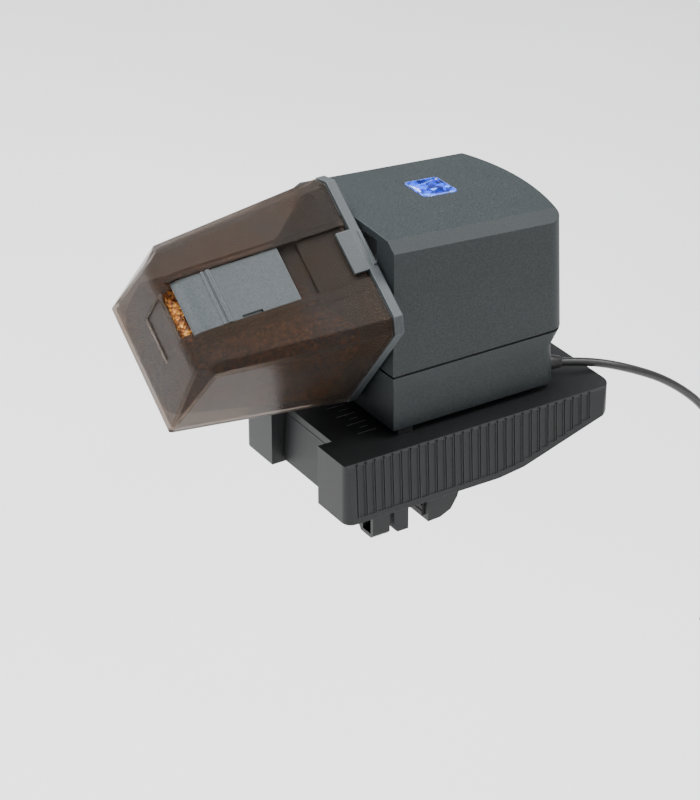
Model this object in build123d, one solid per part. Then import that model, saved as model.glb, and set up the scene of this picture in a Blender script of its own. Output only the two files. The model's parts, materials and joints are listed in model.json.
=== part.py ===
from build123d import *
from math import atan2, cos, degrees, pi, radians, sin, tan
import os

# Automatic fish feeder that clamps on the top edge of an aquarium pane.
# Millimetres, +Z up. X runs from the food drum (-X) to the cord (+X) and Y runs along the pane.
# The origin is the centre of the seat face that rests on the pane's top edge.

# ---- Pane clamp ----
PANE_GAP = 7.0
PAD_T = 1.2
SEAT_HALF_X = 3.3
SEAT_HALF_Y = 26.0
SEAT_PAD_T = 2.0
JAW_HALF_Y = 27.0
JAW_BOTTOM = -18.0
JAW_T = 7.8
FIXED_JAW_END = 21.5
PULL_SCREW_X = -17.4
PULL_REAR_Z = -12.4
PULL_ARCH_Z = -8.5
PULL_ARCH_HALF = 18.0

# ---- Holder base ----
BASE_LEFT = -40.5
BASE_RIGHT = 86.0
BASE_H = 25.5
BASE_HALF_TOP = 37.5
BASE_HALF_BOTTOM = 39.0
BASE_WALL = 2.4
TOP_PLATE = 3.0
TONGUE_HALF = 12.0
NOSE_HALF = 16.6
NOSE_TOP_X = -34.2
NOSE_X = (-35.5, -31.8)
RAIL_X = (-28.5, -11.5)
LEG_IN = 17.5
GRIP_PITCH = 4.05
GRIP_FIRST = -35.5
GRIP_COUNT = 28
GRIP_W = 0.5
GRIP_D = 0.5
GRIP_FOOT = 2.5
GRIP_RIDGE = 0.65
PAD_D = 0.35
FLARE_HALF = 0.6
FLARE_H = 0.9

# ---- Cross slide between base and housing ----
SHOE_X = (-6.7, 49.3)
SHOE_W = 6.6
SHOE_NECK_W = 3.0
SHOE_FRONT_Y = (-27.2, -18.0)
SHOE_NECK_Y = (-12.5, 21.5)
SHOE_TRAVEL = 10.0
GAP_UNDER_HOUSING = 3.0

# ---- Housing ----
BODY_LEFT = -13.6
BODY_FRONT = -28.8
BODY_REAR = 43.8
BODY_END_X = 64.5
BODY_BULGE_X = 70.5
BODY_CORNER_R = 7.0
FLOOR_Z = BASE_H + GAP_UNDER_HOUSING
RIM_FOOT_Z = 45.0
RIM_TOP_Z = 51.5
COVER_Z = 52.7
COVER_TOP_Z = 107.9
ROOF_FALL_DEG = 3.65
BEVEL_Y = 4.7
BEVEL_Z = 3.9
WALL = 2.2
RECESS_Y = (-17.0, 32.0)
LIP_T = 2.7
END_OUT = -1.5
END_DRAFT_DEG = 3.0
FLOOR_END_IN = 1.0
RIM_FOOT_END_IN = 2.4

# ---- Button ----
BUTTON_X = 29.5
BUTTON_Y = 12.0
BUTTON_SIDE = 15.8
BUTTON_R = 2.0
BUTTON_FIT = 0.2

# ---- Drum ----
AXIS_Y = 6.5
AXIS_Z = 75.0
DRUM_TILT = 37.4
LID_X = (-19.6, -15.2)
LID_HALF_W = 35.4
LID_TOP = 34.4
LID_BOTTOM = -30.6
LID_CHAMFER = 5.2
SEAL_T = 0.8
SHELL_X = LID_X[0] - SEAL_T
SHELL_END_X = -96.0
SHELL_HALF = (35.2, 28.0)
SHELL_TOP = (33.6, 24.0)
SHELL_BOTTOM = (-29.8, -25.0)
SHELL_WALL = 1.8
SHELL_CHAMFER = 5.0
SHELL_NOSE_R = 9.0
GROOVE_HALF = 11.5
GROOVE_D = 1.5
SLOT_HALF = 12.8
SLOT_D = 2.7
SLOT_START = 20.6
TRACK_HALF = 15.0
TRACK_D = 4.4
OUTLET_HALF = 9.8
SLIDER_START = 28.6
SLIDER_BEND = 60.0
SLIDER_TIP = 72.0
SLIDER_HALF = 11.2
FLANGE_HALF = 12.6
FACET_DEG = degrees(atan2(SHELL_TOP[0] - SHELL_TOP[1], SHELL_X - SHELL_END_X))

# ---- Drive ----
MODULE = 0.7
PINION_TEETH = 12
WHEEL_TEETH = 44
SMALL_TEETH = 14
OUTPUT_TEETH = 50
SPINDLE_R = 4.0
AXLE_R = 1.5
RUNNING = 0.06
DRIVER_SIDE = 16.0
CHASSIS_X = (-8.4, -5.6)
BRACKET_X = (14.0, 16.0)
IDLER_Y = AXIS_Y
IDLER_Z = AXIS_Z - MODULE * (SMALL_TEETH + OUTPUT_TEETH) / 2
MOTOR_ANGLE = -20.0
MOTOR_REACH = MODULE * (PINION_TEETH + WHEEL_TEETH) / 2
MOTOR_Y = IDLER_Y + MOTOR_REACH * cos(radians(MOTOR_ANGLE))
MOTOR_Z = IDLER_Z + MOTOR_REACH * sin(radians(MOTOR_ANGLE))
MOTOR_R = 10.0
MOTOR_L = 24.0
BRACKET_POSTS = [(y, z) for y in (-14.5, 29.5) for z in (60.0, 94.0)]

# ---- Electronics ----
BOARD_X = (18.0, 56.0)
BOARD_Y = (-14.0, 28.0)
BOARD_Z = 93.0
BOARD_T = 1.6
BOARD_HOLES = [(x, y) for x in (21.5, 52.5) for y in (-10.0, 24.0)]
COVER_SCREWS = [(x, y) for x in (4.0, 54.0) for y in (-21.5, 36.5)]

# ---- Cord ----
CORD_D = 3.5
GLAND = (66.24, -17.4, 31.9)
GLAND_AIM = (0.958, -0.262, -0.119)
GLAND_R = 2.6
GLAND_L = 6.7
COIL_R = 19.25
COIL_BUNDLE_R = 7.2
CORD_ROUTE = [
    (72.66, -19.16, 31.1),
    (84.16, -22.3, 29.67),
    (98.0, -29.0, 26.2),
    (119.0, -31.5, 15.4),
    (141.0, -31.5, -4.0),
    (153.0, -30.6, -27.0),
    (156.4, -29.2, -50.0),
    (154.6, -27.8, -72.0),
]
COIL_CENTRE = (160.0, -29.6 - COIL_R, -78.0)
TAIL_L = 16.0
PLUG_L = 21.0
PLUG_SHELL_L = 11.8


# ---- Small helpers ----
def block(x, y, z):
    """Box between the two limits given for each axis."""
    centre = [(low + high) / 2 for low, high in (x, y, z)]
    size = [high - low for low, high in (x, y, z)]
    return Pos(*centre) * Box(*size)


def prism(points, along, low, high):
    """Closed outline, extruded from low to high along one axis."""
    place = {
        "X": lambda a, b: (low, a, b),
        "Y": lambda a, b: (a, low, b),
        "Z": lambda a, b: (a, b, low),
    }[along]
    face = make_face(Polyline([place(a, b) for a, b in points], close=True))
    direction = {"X": (1, 0, 0), "Y": (0, 1, 0), "Z": (0, 0, 1)}[along]
    return extrude(face, amount=high - low, dir=direction)


def rod(start, aim, radius, length):
    """Cylinder from a start point along a direction."""
    up = (Align.CENTER, Align.CENTER, Align.MIN)
    return Plane(origin=start, z_dir=aim) * Cylinder(radius, length, align=up)


def screw(start, aim, radius, length, head_r, head_l):
    """Pan-head screw: the shank runs from start along aim and the head stands behind start."""
    back = tuple(-a for a in aim)
    slot = rod(Vector(start) + Vector(back) * (head_l - 0.5), back, head_r * 0.45, 1.0)
    return rod(start, aim, radius, length) + rod(start, back, head_r, head_l) - slot


def in_drum(shape):
    """Place a shape from the drum's own frame: X on the axis, Y across, Z out of the top facet."""
    return Pos(0, AXIS_Y, AXIS_Z) * Rot(DRUM_TILT, 0, 0) * shape


def on_facet(shape):
    """Place a shape from the top facet's frame: X along it from the lid outwards, Z out of it."""
    frame = Plane(
        origin=(SHELL_X, 0, SHELL_TOP[0]),
        x_dir=(-cos(radians(FACET_DEG)), 0, -sin(radians(FACET_DEG))),
        z_dir=(-sin(radians(FACET_DEG)), 0, cos(radians(FACET_DEG))),
    )
    return frame * shape


def cut_corner(solid, points, inside, inset=0.0):
    """Cut off what lies beyond the plane through three points, moved inwards by the inset."""
    a, b, c = (Vector(p) for p in points)
    normal = (b - a).cross(c - a).normalized()
    if normal.dot(Vector(inside) - a) > 0:
        normal = normal * -1
    up = (Align.CENTER, Align.CENTER, Align.MIN)
    return solid - Plane(origin=a - normal * inset, z_dir=normal) * Box(400, 400, 60, align=up)


def gear(teeth, width, bore, phase_deg):
    """Spur gear about X with tapered teeth, one tooth centred on the phase angle."""
    pitch_r = MODULE * teeth / 2
    rings = ((pitch_r - 1.1 * MODULE, 0.62), (pitch_r, 0.42), (pitch_r + 0.75 * MODULE, 0.2))
    step = 2 * pi / teeth
    points = []
    for tooth in range(teeth):
        centre = radians(phase_deg) + tooth * step
        flank = [(r, centre - share * step / 2) for r, share in rings]
        flank += [(r, centre + share * step / 2) for r, share in reversed(rings)]
        points += [(r * cos(a), r * sin(a)) for r, a in flank]
    return prism(points, "X", 0, width) - rod((-1, 0, 0), (1, 0, 0), bore, width + 2)


# ---- Holder base ----
def base_underside(x):
    """Height of the base's underside, which rises towards the cord end."""
    if x < 30:
        return 0.0
    if x < 42:
        return 1.5 * (x - 30) / 12
    return 1.5 + 12.5 * (x - 42) / 42


def base_form(inset, top):
    """Outside of the base, or the hollow inside it when there is an inset."""
    high = BASE_HALF_TOP - inset
    low = BASE_HALF_BOTTOM - inset
    edge = 0.0 if inset else 0.7
    section = [(high - edge, BASE_H), (high, BASE_H - edge), (low, 0)]
    if inset:
        section = [(high, BASE_H), (low, 0)]
    mirrored = [(-y, z) for y, z in reversed(section)]
    across = prism(section + mirrored, "X", BASE_LEFT, BASE_RIGHT)
    right = BASE_RIGHT - inset
    side = [
        (BASE_LEFT, -1 if inset else 0),
        (30, -1 if inset else 0),
        (42, 1.5 - (2.5 if inset else 0)),
        (84 - inset, 14.0 - (2.5 if inset else 0)),
        (right, 16.5),
        (right, top),
        (BASE_LEFT, top),
    ]
    plan = prism([(BASE_LEFT, -60), (right, -60), (right, 60), (BASE_LEFT, 60)], "Z", -5, top + 1)
    if not inset:
        plan = block((BASE_LEFT, right), (-BASE_HALF_BOTTOM, BASE_HALF_BOTTOM), (-5, top + 1))
        plan = fillet(plan.edges().filter_by(Axis.Z).group_by(Axis.X)[0], 4.0)
        plan = fillet(plan.edges().filter_by(Axis.Z).group_by(Axis.X)[-1], 9.0)
    return across & prism(side, "Y", -60, 60) & plan


def side_cut(side, x, low, high, depth):
    """Shallow cut in one side of the base, which follows the side's lean."""
    lean = (BASE_HALF_BOTTOM - BASE_HALF_TOP) / BASE_H
    y_low = BASE_HALF_BOTTOM - lean * low
    y_high = BASE_HALF_BOTTOM - lean * high
    points = [
        (side * (y_low + 1), low),
        (side * (y_low - depth), low),
        (side * (y_high - depth), high),
        (side * (y_high + 1), high),
    ]
    return prism(points, "X", *x)


def grip_cuts():
    """Upright grooves along both sides of the base, flared at the top, with sunk pads between them."""
    cuts = []
    for i in range(GRIP_COUNT):
        x = GRIP_FIRST + i * GRIP_PITCH
        low = base_underside(x) + GRIP_FOOT
        pad = (x + GRIP_RIDGE, x + GRIP_PITCH - GRIP_RIDGE)
        pad_low = base_underside(pad[1]) + GRIP_FOOT
        for side in (-1, 1):
            cuts.append(side_cut(side, (x - GRIP_W / 2, x + GRIP_W / 2), low, BASE_H + 1, GRIP_D))
            flare = (x - FLARE_HALF, x + FLARE_HALF)
            cuts.append(side_cut(side, flare, BASE_H - FLARE_H, BASE_H + 1, GRIP_D))
            if i < GRIP_COUNT - 1:
                cuts.append(side_cut(side, pad, pad_low, BASE_H - FLARE_H, PAD_D))
    return cuts


def scale_marks():
    """Engraved setting marks on the base beside the housing: four long and three short ones."""
    marks = []
    for i in range(4):
        y = -17.6 + 7.7 * i
        marks.append(block((-22.6, -13.8), (y - 0.2, y + 0.2), (BASE_H - 0.3, BASE_H + 1)))
    for i in range(3):
        y = -13.75 + 7.7 * i
        marks.append(block((-19.2, -15.2), (y - 0.2, y + 0.2), (BASE_H - 0.3, BASE_H + 1)))
    return marks


def base_frame():
    plate_z = BASE_H - TOP_PLATE
    outer = base_form(0, BASE_H)
    hollow = base_form(BASE_WALL, plate_z) & block((-14, 100), (-60, 60), (-5, plate_z))
    leg = base_form(BASE_WALL, plate_z) & block((BASE_LEFT + BASE_WALL, -13), (-60, 60), (-5, plate_z))
    leg -= block((-60, 0), (-LEG_IN - BASE_WALL, LEG_IN + BASE_WALL), (-6, 60))
    channel = block((BASE_LEFT - 1, -13), (-LEG_IN, LEG_IN), (-1, plate_z))
    nose_gap = block((BASE_LEFT - 1, NOSE_TOP_X), (-LEG_IN, LEG_IN), (-1, BASE_H + 1))
    frame = outer - hollow - leg - channel - nose_gap
    for side in (-1, 1):
        wall = sorted((side * 15.2, side * 17.0))
        lip = sorted((side * 12.5, side * 15.3))
        frame += block(RAIL_X, wall, (9.6, plate_z + 0.1))
        frame += block(RAIL_X, lip, (9.6, 11.6))
    frame += block((-SEAT_HALF_X, SEAT_HALF_X), (-30, 30), (SEAT_PAD_T, plate_z + 0.1))
    for y in (-16, 16):
        frame += rod((12, y, 8), (0, 0, 1), 4.2, plate_z - 8 + 0.1)
        frame -= rod((12, y, 7), (0, 0, 1), 1.3, 12)
    for x in SHOE_X:
        half = SHOE_NECK_W / 2 + 0.3
        span = (SHOE_NECK_Y[0] - SHOE_TRAVEL - 0.5, SHOE_NECK_Y[1] + SHOE_TRAVEL + 0.5)
        frame -= block((x - half, x + half), span, (plate_z - 1, BASE_H + 1))
    for cut in grip_cuts() + scale_marks():
        frame -= cut
    return frame


def pane_pad():
    return block((-SEAT_HALF_X, SEAT_HALF_X), (-SEAT_HALF_Y, SEAT_HALF_Y), (0, SEAT_PAD_T))


def fixed_jaw():
    face = PANE_GAP / 2 + PAD_T
    outline = [
        (face, -0.2),
        (face, JAW_BOTTOM),
        (10.5, JAW_BOTTOM + 0.3),
        (15.5, JAW_BOTTOM + 2.6),
        (18.5, -10.5),
        (FIXED_JAW_END, -0.2),
    ]
    jaw = prism(outline, "Y", -JAW_HALF_Y, JAW_HALF_Y)
    jaw += block((face, 19.0), (-JAW_HALF_Y + 1, JAW_HALF_Y - 1), (-1, 8))
    for y in (-16, 16):
        jaw -= rod((12, y, -30), (0, 0, 1), 3.4, 33)
        jaw -= rod((12, y, 0), (0, 0, 1), 1.7, 10)
    return jaw


def jaw_screws():
    return [screw((12, y, 3), (0, 0, 1), 1.25, 14, 3.0, 2.2) for y in (-16, 16)]


def jaw_pad(side):
    """Ribbed rubber pad on a jaw's face, on the +X or the -X side of the pane."""
    near = side * PANE_GAP / 2
    far = side * (PANE_GAP / 2 + PAD_T)
    pad = block(sorted((near, far)), (-24, 24), (JAW_BOTTOM + 1.5, -1.5))
    for i in range(5):
        z = JAW_BOTTOM + 4.0 + 2.6 * i
        groove = sorted((near - side * 0.1, near + side * 0.4))
        pad -= block(groove, (-25, 25), (z - 0.3, z + 0.3))
    return pad


def slide_tongue():
    """Tongue whose wide nose fills the gap between the legs, and which carries the moving jaw."""
    top = BASE_H - TOP_PLATE - 0.3
    front, back = NOSE_X
    nose = [(NOSE_TOP_X, top), (front, 1.6), (back, 1.6), (back, top)]
    middle = [
        (NOSE_TOP_X + 1, top),
        (NOSE_TOP_X + 1, 7.5),
        (-7.5, 7.5),
        (-7.5, 18.7),
        (-16.5, 18.7),
        (-16.5, top),
    ]
    tongue = prism(nose, "Y", -NOSE_HALF, NOSE_HALF) + prism(middle, "Y", -TONGUE_HALF, TONGUE_HALF)
    tongue += block((-33, -14), (-14.9, 14.9), (12.0, 18.7))
    for x, y in [(-9.6, -6), (-9.6, 6), (PULL_SCREW_X, -5), (PULL_SCREW_X, 5)]:
        tongue -= rod((x, y, 6), (0, 0, 1), 1.0, 9)
    return tongue


def moving_jaw():
    face = -PANE_GAP / 2 - PAD_T
    back = -PANE_GAP / 2 - JAW_T
    lower = [
        (face, -0.5),
        (face, JAW_BOTTOM),
        (back + 1.5, JAW_BOTTOM),
        (back, JAW_BOTTOM + 1.5),
        (back, -0.5),
    ]
    jaw = prism(lower, "Y", -JAW_HALF_Y, JAW_HALF_Y)
    jaw += block((back, -7.6), (-14.5, 14.5), (-0.6, 7.5))
    for y in (-6, 6):
        jaw -= rod((-9.6, y, -30), (0, 0, 1), 1.55, 34)
        jaw -= rod((-9.6, y, 0), (0, 0, 1), 1.2, 10)
    return jaw


def moving_jaw_screws():
    return [screw((-9.6, y, 3.9), (0, 0, 1), 0.95, 9, 1.5, 1.6) for y in (-6, 6)]


def finger_pull():
    """Hollow finger hook under the tongue, open towards -X, with an arch and a shorter rear cheek."""
    left = -21.2
    right = -13.4
    cheeks = ((-1, JAW_BOTTOM), (1, PULL_REAR_Z))
    outline = [(-JAW_HALF_Y, -0.4), (-JAW_HALF_Y, JAW_BOTTOM + 1.5), (-JAW_HALF_Y + 1.5, JAW_BOTTOM)]
    steps = 8
    for i in range(steps + 1):
        y = PULL_ARCH_HALF * (2 * i / steps - 1)
        low = JAW_BOTTOM if y < 0 else PULL_REAR_Z
        share = abs(cos(y / PULL_ARCH_HALF * pi / 2)) ** 0.5
        outline.append((y, low + (PULL_ARCH_Z - low) * share))
    outline += [(JAW_HALF_Y - 1.5, PULL_REAR_Z), (JAW_HALF_Y, PULL_REAR_Z + 1.5), (JAW_HALF_Y, -0.4)]
    hook = prism(outline, "X", left, right)
    for side, low in cheeks:
        pocket = sorted((side * 19.5, side * (JAW_HALF_Y - 1.8)))
        hook -= block((left - 1, right - 1.8), pocket, (low + 1.8, -2.2))
    hook -= block((left - 1, right - 1.8), (-16.0, 16.0), (PULL_ARCH_Z + 2.7, -2.2))
    hook += block((-20.5, right), (-9, 9), (-0.5, 7.5))
    for y in (-5, 5):
        hook -= rod((PULL_SCREW_X, y, -4), (0, 0, 1), 1.2, 12)
    return hook


def pull_screws():
    return [screw((PULL_SCREW_X, y, -2.2), (0, 0, 1), 0.95, 13, 1.9, 1.2) for y in (-5, 5)]


# ---- Housing ----
def body_outline(inset, end_inset, z, spare=0.0):
    """Plan outline of the housing with a bulging cord end, inset from its widest size."""
    left = BODY_LEFT + inset - spare
    front = BODY_FRONT + inset
    rear = BODY_REAR - inset
    corner = BODY_END_X - end_inset
    edges = Line((left, rear), (left, front)) + Line((left, front), (corner, front))
    bulge = (BODY_BULGE_X - end_inset, (front + rear) / 2)
    edges += ThreePointArc((corner, front), bulge, (corner, rear))
    edges += Line((corner, rear), (left, rear))
    face = make_face(edges)
    radius = max(BODY_CORNER_R - inset, 1.0)
    return Pos(0, 0, z) * fillet([v for v in face.vertices() if v.X > corner - 1], radius)


def lower_housing():
    floor = body_outline(1.0, FLOOR_END_IN, FLOOR_Z)
    foot = body_outline(1.0, RIM_FOOT_END_IN, RIM_FOOT_Z)
    outer = loft([floor, foot]) + loft([foot, body_outline(0.2, END_OUT + 0.2, RIM_TOP_Z)])
    inside = body_outline(1.0 + WALL, RIM_FOOT_END_IN + WALL, FLOOR_Z + 2.5)
    housing = outer - extrude(inside, amount=60)
    for x, y in COVER_SCREWS:
        housing += rod((x, y, FLOOR_Z + 2.4), (0, 0, 1), 3.6, RIM_TOP_Z - FLOOR_Z - 2.4)
    for x, y in COVER_SCREWS:
        housing -= rod((x, y, FLOOR_Z - 1), (0, 0, 1), 2.7, 5.0)
        housing -= rod((x, y, FLOOR_Z), (0, 0, 1), 1.5, 60)
    for x in SHOE_X:
        for y in SHOE_NECK_Y:
            housing -= rod((x, y, FLOOR_Z - 1), (0, 0, 1), 1.2, 5)
    aim = Vector(GLAND_AIM)
    start = Vector(GLAND) - aim * 8
    return housing - rod(start, GLAND_AIM, GLAND_R + 0.1, 14)


def housing_seal():
    ring = extrude(body_outline(0.9, END_OUT + 0.9, RIM_TOP_Z), amount=COVER_Z - RIM_TOP_Z)
    return ring - extrude(body_outline(2.3, END_OUT + 2.3, RIM_TOP_Z - 1), amount=5)


def cover_form(inset, low):
    """Plan of the cover from one height up, leaning in at the cord end, inset from its outside."""
    outline = body_outline(inset, END_OUT + inset, COVER_Z - 20, spare=20)
    leaning = Pos(-BODY_END_X, 0, -COVER_Z) * extrude(outline, amount=110)
    leaning = Pos(BODY_END_X, 0, COVER_Z) * Rot(0, -END_DRAFT_DEG, 0) * leaning
    return leaning & block((BODY_LEFT + inset, 100), (-60, 60), (low, COVER_TOP_Z + 10))


def roof_form(inset):
    """Solid under the sloping roof with its long bevels, inset from its outside."""
    front = BODY_FRONT + inset
    rear = BODY_REAR - inset
    shoulder = COVER_TOP_Z - BEVEL_Z - 0.45 * inset
    top = COVER_TOP_Z - inset
    ridge_in = BEVEL_Y - 0.5 * inset
    low = COVER_Z - 30
    edges = Polyline(
        (0, rear - ridge_in, top),
        (0, rear, shoulder),
        (0, rear, low),
        (0, front, low),
        (0, front, shoulder),
        (0, front + ridge_in, top),
    )
    crown = (0, (front + rear) / 2, top + 0.9)
    edges += ThreePointArc((0, front + ridge_in, top), crown, (0, rear - ridge_in, top))
    roof = Pos(-30, 0, -COVER_TOP_Z) * extrude(make_face(edges), amount=130, dir=(1, 0, 0))
    return Pos(BODY_LEFT, 0, COVER_TOP_Z) * Rot(0, ROOF_FALL_DEG, 0) * roof


def button_hole(side, radius, low, high):
    face = RectangleRounded(side, side, radius)
    return Pos(BUTTON_X, BUTTON_Y, low) * extrude(face, amount=high - low)


def top_cover():
    outer = cover_form(0, COVER_Z) & roof_form(0)
    crown = [e for e in outer.edges() if e.center().X > BODY_END_X and e.center().Z > 98]
    outer = fillet([e for e in crown if e.length > 20], 3.0)
    inner = cover_form(WALL, COVER_Z - 5) & roof_form(WALL)
    cover = outer - inner
    cover -= block((-30, BODY_LEFT + WALL + 0.5), RECESS_Y, (COVER_Z - 1, COVER_TOP_Z - LIP_T))
    posts = [(x, y, COVER_Z, 3.6) for x, y in COVER_SCREWS]
    posts += [(x, y, BOARD_Z + BOARD_T, 2.4) for x, y in BOARD_HOLES]
    for x, y, low, radius in posts:
        cover += rod((x, y, low), (0, 0, 1), radius, 60) & roof_form(WALL - 0.3)
        cover -= rod((x, y, low - 1), (0, 0, 1), 1.1, 9.0)
    side = BUTTON_SIDE + 2 * BUTTON_FIT
    return cover - button_hole(side, BUTTON_R + BUTTON_FIT, 90, 120)


def cover_screws():
    screws = []
    for x, y in COVER_SCREWS:
        screws.append(screw((x, y, FLOOR_Z + 4.0), (0, 0, 1), 1.05, 27.5, 2.5, 2.0))
    return screws


def button_top_z():
    """Height of the roof over the button's centre."""
    return COVER_TOP_Z - (BUTTON_X - BODY_LEFT) * tan(radians(ROOF_FALL_DEG)) + 0.8


def button():
    """Square push button with a stem and a flange; its top is cut with gem-like facets."""
    top = button_top_z()
    cap = button_hole(BUTTON_SIDE, BUTTON_R, top - 4.5, top + 0.9)
    crown = cap.edges().group_by(Axis.Z)[-1]
    cap = chamfer(crown, 0.8, 1.9)
    flange = button_hole(BUTTON_SIDE + 2.4, BUTTON_R, top - 5.9, top - 4.3)
    stem = rod((BUTTON_X, BUTTON_Y, BOARD_Z + BOARD_T + 3.6), (0, 0, 1), 1.6, 4.0)
    well = Pos(BUTTON_X, BUTTON_Y, top - 5.9) * Cylinder(5.8, 4.0)
    return cap + flange - well + stem


def button_spring():
    """Light coil spring round the stem, as its outer sleeve."""
    low = BOARD_Z + BOARD_T
    high = button_top_z() - 3.9
    sleeve = rod((BUTTON_X, BUTTON_Y, low), (0, 0, 1), 5.4, high - low)
    return sleeve - rod((BUTTON_X, BUTTON_Y, low - 1), (0, 0, 1), 4.7, high - low + 2)


def circuit_board():
    board = block(BOARD_X, BOARD_Y, (BOARD_Z, BOARD_Z + BOARD_T))
    for x, y in BOARD_HOLES:
        board -= rod((x, y, BOARD_Z - 1), (0, 0, 1), 1.3, 5)
    return board


def board_screws():
    return [screw((x, y, BOARD_Z), (0, 0, 1), 1.0, 6.0, 2.2, 1.4) for x, y in BOARD_HOLES]


def tact_switch():
    low = BOARD_Z + BOARD_T
    body = block((BUTTON_X - 3, BUTTON_X + 3), (BUTTON_Y - 3, BUTTON_Y + 3), (low, low + 2.4))
    return body + rod((BUTTON_X, BUTTON_Y, low + 2.3), (0, 0, 1), 1.7, 0.5)


def status_led():
    low = BOARD_Z + BOARD_T
    y = BUTTON_Y - 7.2
    lens = rod((BUTTON_X, y, low + 0.8), (0, 0, 1), 0.9, 0.5)
    return block((BUTTON_X - 1.6, BUTTON_X + 1.6), (y - 1.2, y + 1.2), (low, low + 0.9)) + lens


def wireless_module():
    low = BOARD_Z + BOARD_T
    board = block((39, 51), (-2, 16), (low, low + 0.8))
    return board + block((40, 50), (-1, 11), (low + 0.7, low + 2.6))


def chassis_plate():
    """White end plate behind the drum's coupling, which carries the bush and the idler axle."""
    top = COVER_TOP_Z - LIP_T - 1.2
    plate = block(CHASSIS_X, (BODY_FRONT + WALL + 0.4, BODY_REAR - WALL - 0.4), (54.2, top - 3.2))
    plate += block(CHASSIS_X, (-22.0, 37.0), (top - 3.3, top))
    plate += block(CHASSIS_X, (BODY_FRONT + WALL + 1.8, BODY_REAR - WALL - 1.8), (FLOOR_Z + 2.7, 54.3))
    plate += rod((CHASSIS_X[1] - 0.1, AXIS_Y, AXIS_Z), (1, 0, 0), 8.0, 3.1)
    for y, z in BRACKET_POSTS:
        plate += rod((CHASSIS_X[1] - 0.1, y, z), (1, 0, 0), 2.6, BRACKET_X[0] - CHASSIS_X[1] + 0.1)
        plate -= rod((CHASSIS_X[1] + 6, y, z), (1, 0, 0), 1.0, 20)
    plate -= rod((CHASSIS_X[0] - 1, AXIS_Y, AXIS_Z), (1, 0, 0), SPINDLE_R + 1.5, 12)
    return plate - rod((CHASSIS_X[0] - 1, IDLER_Y, IDLER_Z), (1, 0, 0), AXLE_R, 12)


def spindle_bush():
    start = (CHASSIS_X[0], AXIS_Y, AXIS_Z)
    bush = rod(start, (1, 0, 0), SPINDLE_R + 1.5, 5.8)
    bush += rod((CHASSIS_X[1] + 3.0, AXIS_Y, AXIS_Z), (1, 0, 0), 7.0, 1.0)
    return bush - rod((-20, AXIS_Y, AXIS_Z), (1, 0, 0), SPINDLE_R + RUNNING, 60)


def gearbox_bracket():
    outline = [(-19.5, 57), (8, 34), (37, 34), (37, 60), (33.5, 97.5), (-19.5, 97.5)]
    plate = prism(outline, "X", *BRACKET_X)
    plate -= rod((BRACKET_X[0] - 1, AXIS_Y, AXIS_Z), (1, 0, 0), SPINDLE_R - 1 + RUNNING, 5)
    plate -= rod((BRACKET_X[0] - 1, IDLER_Y, IDLER_Z), (1, 0, 0), AXLE_R, 5)
    plate -= rod((BRACKET_X[0] - 1, MOTOR_Y, MOTOR_Z), (1, 0, 0), 3.2, 5)
    for y, z in BRACKET_POSTS:
        plate -= rod((BRACKET_X[0] - 1, y, z), (1, 0, 0), 1.3, 5)
    return plate


def bracket_screws():
    return [screw((BRACKET_X[1], y, z), (-1, 0, 0), 0.95, 7.5, 2.2, 1.4) for y, z in BRACKET_POSTS]


def idler_axle():
    return rod((CHASSIS_X[0], IDLER_Y, IDLER_Z), (1, 0, 0), AXLE_R, BRACKET_X[1] - CHASSIS_X[0] + 0.4)


def reduction_gear():
    """Compound gear: the wheel takes the pinion and the small gear drives the output gear."""
    bore = AXLE_R + RUNNING
    small = Pos(1.2, 0, 0) * gear(SMALL_TEETH, 6.4, bore, 90 + 180 / SMALL_TEETH)
    wheel = Pos(7.6, 0, 0) * gear(WHEEL_TEETH, 3.0, bore, MOTOR_ANGLE)
    return Pos(0, IDLER_Y, IDLER_Z) * (small + wheel)


def motor_pinion():
    pinion = gear(PINION_TEETH, 4.2, 1.0, MOTOR_ANGLE + 180 + 180 / PINION_TEETH)
    return Pos(7.2, MOTOR_Y, MOTOR_Z) * pinion


def motor_shaft():
    return rod((7.2, MOTOR_Y, MOTOR_Z), (1, 0, 0), 1.0, 14.0)


def motor():
    can = rod((BRACKET_X[1], MOTOR_Y, MOTOR_Z), (1, 0, 0), MOTOR_R, MOTOR_L)
    can = chamfer(can.edges().group_by(Axis.X)[-1], 1.0)
    can += rod((BRACKET_X[0] + 0.4, MOTOR_Y, MOTOR_Z), (1, 0, 0), 3.1, 2.0)
    can -= rod((0, MOTOR_Y, MOTOR_Z), (1, 0, 0), 1.0 + RUNNING, 21.5)
    for y in (-4, 4):
        can += block((39.9, 42.5), (MOTOR_Y + y - 1, MOTOR_Y + y + 1), (MOTOR_Z - 0.3, MOTOR_Z + 0.3))
    return can


# ---- Spindle and drum ----
def spindle():
    shaft = rod((-18.5, 0, 0), (1, 0, 0), SPINDLE_R, 29.0)
    shaft += rod((10.4, 0, 0), (1, 0, 0), SPINDLE_R - 1, 6.4)
    return in_drum(shaft)


def output_gear():
    """Output gear, in mesh with the small gear under it at rest."""
    wheel = gear(OUTPUT_TEETH, 4.0, SPINDLE_R, -90)
    wheel += rod((-1.0, 0, 0), (1, 0, 0), 7.0, 1.5) - rod((-2, 0, 0), (1, 0, 0), SPINDLE_R, 9)
    for i in range(6):
        angle = i * pi / 3
        wheel -= rod((-1, 11.5 * cos(angle), 11.5 * sin(angle)), (1, 0, 0), 2.6, 6)
    return Pos(2.0, AXIS_Y, AXIS_Z) * wheel


def coupling_driver():
    """Square driver on the spindle's end, which turns the drum's lid."""
    face = RectangleRounded(DRIVER_SIDE, DRIVER_SIDE, 2.5)
    driver = extrude(Plane(origin=(-18.5, 0, 0), z_dir=(1, 0, 0)) * face, amount=8.5)
    driver = chamfer(driver.faces().sort_by(Axis.X)[0].edges(), 0.8)
    return in_drum(driver - rod((-30, 0, 0), (1, 0, 0), SPINDLE_R, 40))


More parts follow.
